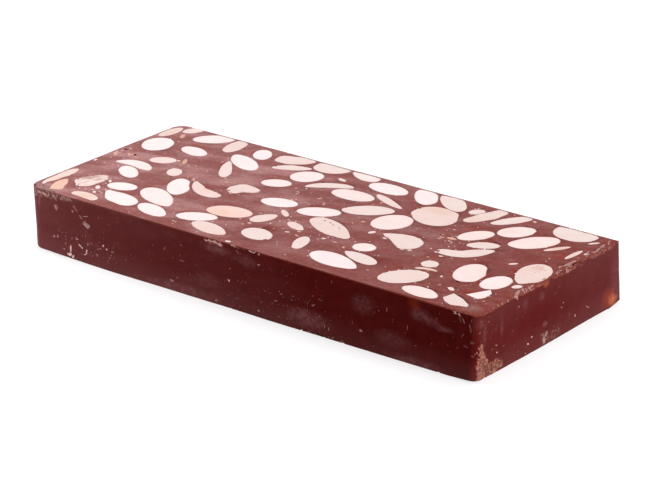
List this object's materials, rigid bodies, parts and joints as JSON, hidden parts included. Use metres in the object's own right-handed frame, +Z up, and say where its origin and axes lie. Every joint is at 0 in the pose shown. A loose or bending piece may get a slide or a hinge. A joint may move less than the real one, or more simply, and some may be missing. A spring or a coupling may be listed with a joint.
{
  "type": "chocolate turron",
  "caption": "Rectangular bar of chocolate turron with sliced whole almonds showing level in its flat top face, lying on its flat foot.",
  "frame": {"origin": "on the surface the bar lies on, under the middle of the bar's box", "axes": "+X along the bar, +Y across it, +Z up out of the face that shows the almonds"},
  "size_m": [0.201, 0.0888, 0.0235],
  "materials": {
    "chocolate": "satin, with a light bloom",
    "blanched_almond": "matt, sawn",
    "toasted_almond": "matt, sawn"
  },
  "bodies": {
    "root": {"chocolate_block": "chocolate", "almond_01": "blanched_almond", "almond_02": "toasted_almond", "almond_03": "blanched_almond", "almond_04": "blanched_almond", "almond_05": "blanched_almond", "almond_06": "blanched_almond", "almond_07": "blanched_almond", "almond_08": "blanched_almond", "almond_09": "blanched_almond", "almond_10": "toasted_almond", "almond_11": "blanched_almond", "almond_12": "blanched_almond", "almond_13": "blanched_almond", "almond_14": "blanched_almond", "almond_15": "blanched_almond", "almond_16": "blanched_almond", "almond_17": "blanched_almond", "almond_18": "blanched_almond", "almond_19": "blanched_almond", "almond_20": "blanched_almond", "almond_21": "blanched_almond", "almond_22": "blanched_almond", "almond_23": "blanched_almond", "almond_24": "blanched_almond", "almond_25": "blanched_almond", "almond_26": "blanched_almond", "almond_27": "blanched_almond", "almond_28": "blanched_almond", "almond_29": "blanched_almond", "almond_30": "blanched_almond", "almond_31": "blanched_almond", "almond_32": "blanched_almond", "almond_33": "blanched_almond", "almond_34": "blanched_almond", "almond_35": "blanched_almond", "almond_36": "blanched_almond", "almond_37": "blanched_almond", "almond_38": "blanched_almond", "almond_39": "blanched_almond", "almond_40": "blanched_almond", "almond_41": "blanched_almond", "almond_42": "blanched_almond", "almond_43": "blanched_almond", "almond_44": "blanched_almond", "almond_45": "blanched_almond", "almond_46": "blanched_almond", "almond_47": "blanched_almond", "almond_48": "blanched_almond", "almond_49": "blanched_almond", "almond_50": "blanched_almond", "almond_51": "blanched_almond", "almond_52": "blanched_almond", "almond_53": "blanched_almond", "almond_54": "blanched_almond", "almond_55": "blanched_almond", "almond_56": "blanched_almond", "almond_57": "blanched_almond", "almond_58": "blanched_almond", "almond_59": "blanched_almond"}
  },
  "joints": []
}
